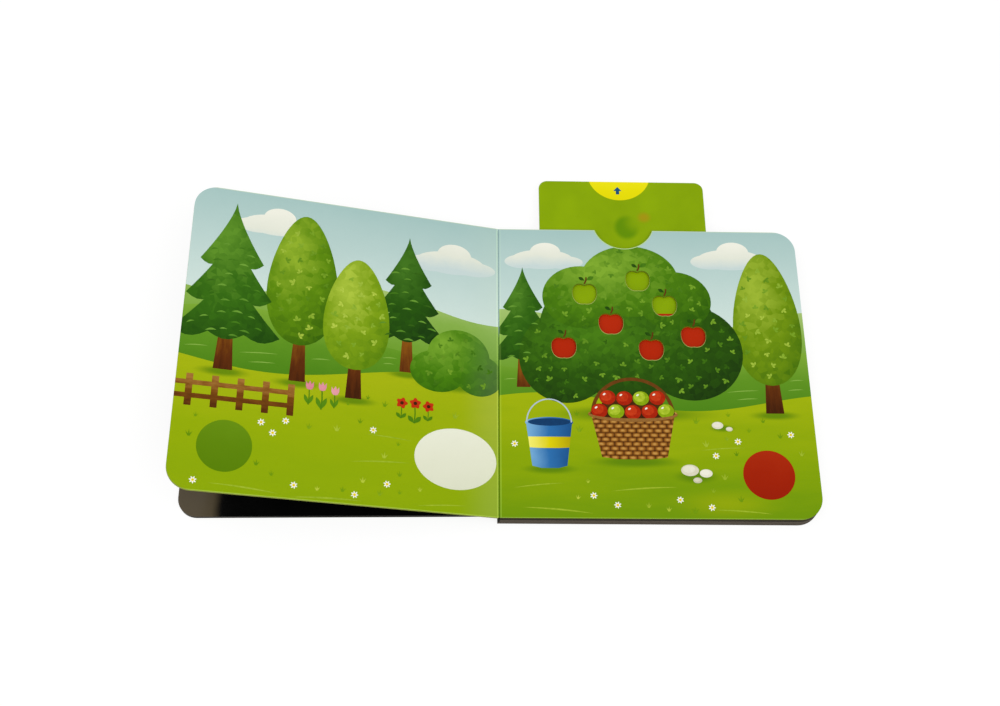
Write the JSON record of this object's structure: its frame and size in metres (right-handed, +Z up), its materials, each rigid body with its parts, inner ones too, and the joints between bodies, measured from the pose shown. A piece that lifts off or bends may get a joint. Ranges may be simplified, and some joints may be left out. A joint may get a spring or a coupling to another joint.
{
  "type": "childrens book",
  "caption": "Open childrens board book with rounded corners; the right page has a pull-up card running behind fruit-shaped windows and a thumb notch, and the left leaf stands a little open.",
  "frame": {"origin": "on the table, under the gutter, half-way up the page", "axes": "+X to the right across the pages, +Y up the page, +Z up from the table"},
  "size_m": [0.328, 0.201, 0.0515],
  "materials": {
    "page_block": "trimmed board edges, matt",
    "rear_board": "matt board",
    "slide_frame": "matt board",
    "face_board": "matt board",
    "spine": "dark paper, satin",
    "right_sky": "printed paper, gloss laminate",
    "right_clouds": "printed paper, gloss laminate",
    "right_far_hill": "printed paper, gloss laminate",
    "right_near_hill": "printed paper, gloss laminate",
    "right_meadow": "printed paper, gloss laminate",
    "right_trunks": "printed paper, gloss laminate",
    "right_poplar": "printed paper, gloss laminate",
    "right_fir": "printed paper, gloss laminate",
    "right_bush": "printed paper, gloss laminate",
    "right_bush_top": "printed paper, gloss laminate",
    "right_basket": "printed paper, gloss laminate",
    "right_pail": "printed paper, gloss laminate",
    "right_pail_band": "printed paper, gloss laminate",
    "right_spot": "printed paper, gloss laminate",
    "front_cover": "laminated paper over board, gloss",
    "front_lining": "black printed paper, gloss",
    "left_leaf": "matt board",
    "left_sky": "printed paper, gloss laminate",
    "left_clouds": "printed paper, gloss laminate",
    "left_far_hill": "printed paper, gloss laminate",
    "left_near_hill": "printed paper, gloss laminate",
    "left_meadow": "printed paper, gloss laminate",
    "left_trunks": "printed paper, gloss laminate",
    "left_fir_far": "printed paper, gloss laminate",
    "left_fir_near": "printed paper, gloss laminate",
    "left_poplar_far": "printed paper, gloss laminate",
    "left_poplar_near": "printed paper, gloss laminate",
    "left_bush": "printed paper, gloss laminate",
    "left_fence": "printed paper, gloss laminate",
    "left_spot": "printed paper, gloss laminate",
    "left_panel": "printed paper, gloss laminate",
    "slider_card": "matt card",
    "slider_green": "printed paper, gloss laminate",
    "slider_red": "printed paper, gloss laminate",
    "slider_tab": "printed paper, gloss laminate",
    "slider_arrow": "printed paper, gloss laminate",
    "back_cover": "laminated paper over board, gloss"
  },
  "bodies": {
    "block": {"page_block": "page_block", "rear_board": "rear_board", "slide_frame": "slide_frame", "face_board": "face_board", "spine": "spine", "right_sky": "right_sky", "right_clouds": "right_clouds", "right_far_hill": "right_far_hill", "right_near_hill": "right_near_hill", "right_meadow": "right_meadow", "right_trunks": "right_trunks", "right_poplar": "right_poplar", "right_fir": "right_fir", "right_bush": "right_bush", "right_bush_top": "right_bush_top", "right_basket": "right_basket", "right_pail": "right_pail", "right_pail_band": "right_pail_band", "right_spot": "right_spot"},
    "front_half": {"front_cover": "front_cover", "front_lining": "front_lining", "left_leaf": "left_leaf", "left_sky": "left_sky", "left_clouds": "left_clouds", "left_far_hill": "left_far_hill", "left_near_hill": "left_near_hill", "left_meadow": "left_meadow", "left_trunks": "left_trunks", "left_fir_far": "left_fir_far", "left_fir_near": "left_fir_near", "left_poplar_far": "left_poplar_far", "left_poplar_near": "left_poplar_near", "left_bush": "left_bush", "left_fence": "left_fence", "left_spot": "left_spot", "left_panel": "left_panel"},
    "pull_card": {"slider_card": "slider_card", "slider_green": "slider_green", "slider_red": "slider_red", "slider_tab": "slider_tab", "slider_arrow": "slider_arrow"},
    "back_cover": {"back_cover": "back_cover"}
  },
  "joints": [
    {"name": "front_cover_hinge", "type": "hinge", "parent": "block", "child": "front_half", "pos_m": [0, 0, 0.0098], "axis": [0, 1, 0], "range_deg": [0, 165]},
    {"name": "back_cover_hinge", "type": "hinge", "parent": "block", "child": "back_cover", "pos_m": [-0.00085, 0, 0], "axis": [0, 1, 0], "range_deg": [0, 170]},
    {"name": "card_slide", "type": "slide", "parent": "block", "child": "pull_card", "axis": [0, 1, 0], "range_m": [-0.033, 0.025]}
  ]
}
